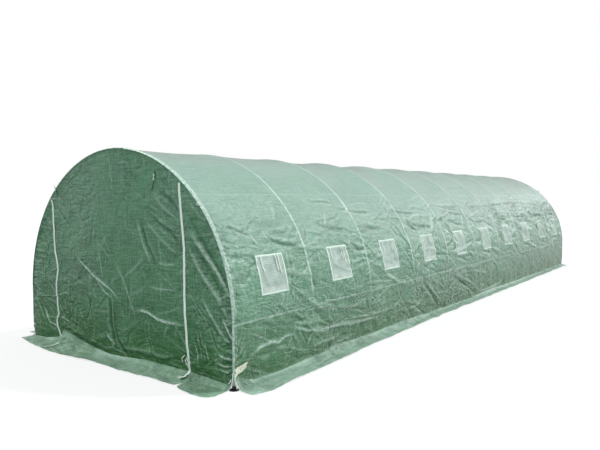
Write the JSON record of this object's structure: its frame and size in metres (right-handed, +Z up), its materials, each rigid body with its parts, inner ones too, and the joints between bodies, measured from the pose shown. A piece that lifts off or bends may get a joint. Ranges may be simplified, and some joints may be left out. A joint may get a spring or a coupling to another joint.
{
  "type": "polytunnel greenhouse",
  "caption": "Arched polytunnel greenhouse: steel hoops and rails under a woven green sheet with mesh windows, zipped ends and a ground skirt.",
  "frame": {"origin": "on the ground at the middle of the plan", "axes": "+Z up, +Y along the tunnel, the front end faces -Y"},
  "size_m": [3.42, 10.4576, 1.9212],
  "materials": {
    "galvanised_tube": "satin zinc-coated steel tube",
    "clamp": "moulded, matt",
    "foot_plate": "moulded, matt",
    "cover_sheet": "woven tape film with a smooth coating, translucent green",
    "skirt_sheet": "woven tape film with a smooth coating, translucent green",
    "window_mesh": "fine net, pale",
    "white_tape": "woven tape, white"
  },
  "bodies": {
    "root": {"hoop_01": "galvanised_tube", "hoop_02": "galvanised_tube", "hoop_03": "galvanised_tube", "hoop_04": "galvanised_tube", "hoop_05": "galvanised_tube", "hoop_06": "galvanised_tube", "hoop_07": "galvanised_tube", "hoop_08": "galvanised_tube", "hoop_09": "galvanised_tube", "hoop_10": "galvanised_tube", "hoop_11": "galvanised_tube", "ridge_rail": "galvanised_tube", "shoulder_rail_left": "galvanised_tube", "shoulder_rail_right": "galvanised_tube", "base_rail_left": "galvanised_tube", "base_rail_right": "galvanised_tube", "ridge_clamps": "clamp", "shoulder_clamps_left": "clamp", "shoulder_clamps_right": "clamp", "base_clamps_left": "clamp", "base_clamps_right": "clamp", "foot_plates_left": "foot_plate", "foot_plates_right": "foot_plate", "cover_crown_left": "cover_sheet", "cover_crown_right": "cover_sheet", "cover_shoulder_left": "cover_sheet", "cover_shoulder_right": "cover_sheet", "cover_wall_left": "cover_sheet", "cover_wall_right": "cover_sheet", "front_door": "cover_sheet", "front_side_left": "cover_sheet", "front_side_right": "cover_sheet", "back_door": "cover_sheet", "back_side_left": "cover_sheet", "back_side_right": "cover_sheet", "skirt_left": "skirt_sheet", "skirt_right": "skirt_sheet", "skirt_front": "skirt_sheet", "skirt_back": "skirt_sheet", "windows_left": "window_mesh", "windows_right": "window_mesh", "window_tapes_left": "white_tape", "window_tapes_right": "white_tape", "front_zips": "white_tape", "back_zips": "white_tape"}
  },
  "joints": []
}
